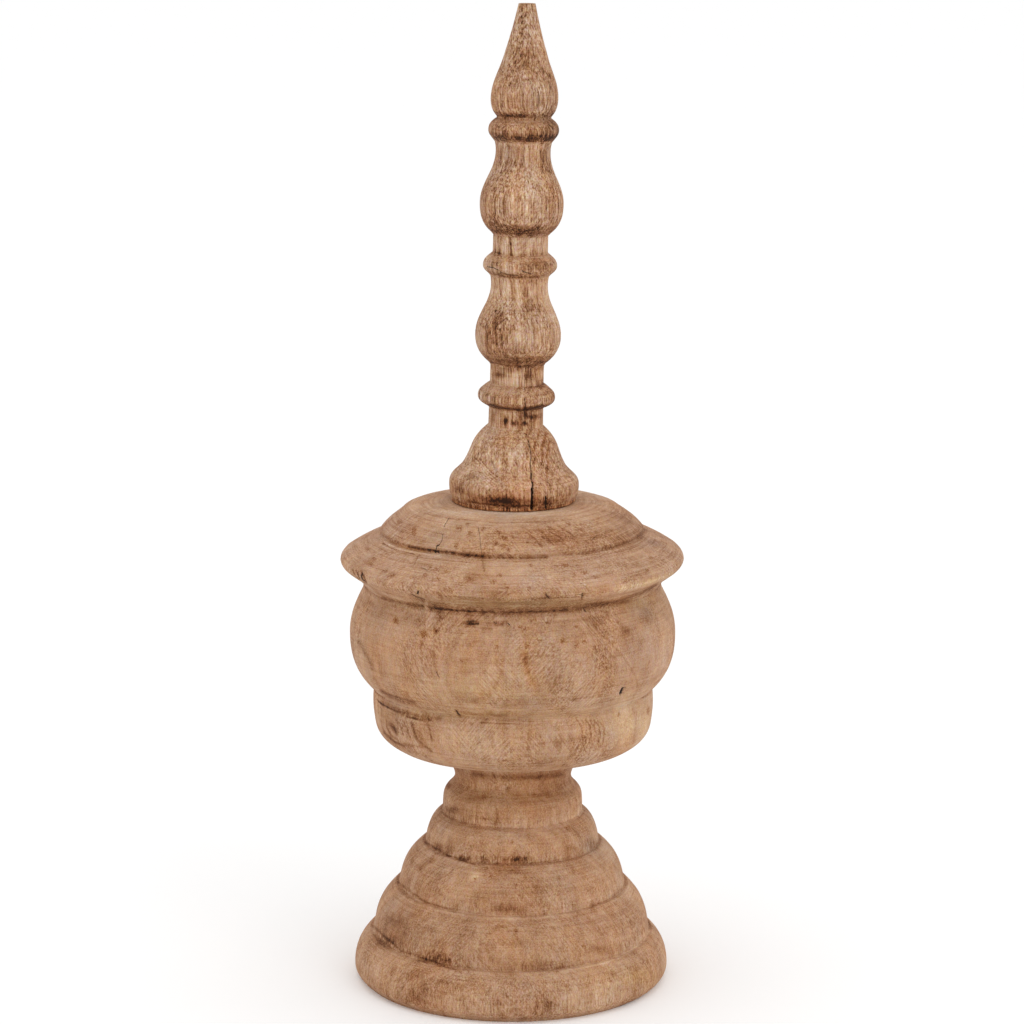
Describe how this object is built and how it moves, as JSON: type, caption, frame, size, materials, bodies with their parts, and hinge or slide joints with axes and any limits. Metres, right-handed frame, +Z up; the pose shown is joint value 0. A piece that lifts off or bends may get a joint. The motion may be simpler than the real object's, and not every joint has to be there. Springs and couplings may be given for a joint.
{
  "type": "wooden finial",
  "caption": "Turned wooden finial: stepped round foot, narrow neck, full bulb under a wide brim, and a slender spire of rings and pear-shaped bulbs with a sawn-off tip.",
  "frame": {"origin": "centre of the flat underside of the foot, at the surface the finial stands on", "axes": "+Z up along the finial, -Y towards the side shown in the picture, +X to the right in the picture"},
  "size_m": [0.2095, 0.2094, 0.6006],
  "materials": {
    "foot_wood": "dry unfinished hardwood, sanded, with vertical grain, open pores and torn grain in the grooves",
    "body_wood": "dry unfinished hardwood, sanded, pale top, brown spots and dark grooves",
    "spire_wood": "dry unfinished hardwood, a little browner, with long dark pore streaks, a split and a dark stain round its foot"
  },
  "bodies": {
    "root": {"foot": "foot_wood", "body": "body_wood", "spire": "spire_wood"}
  },
  "joints": []
}
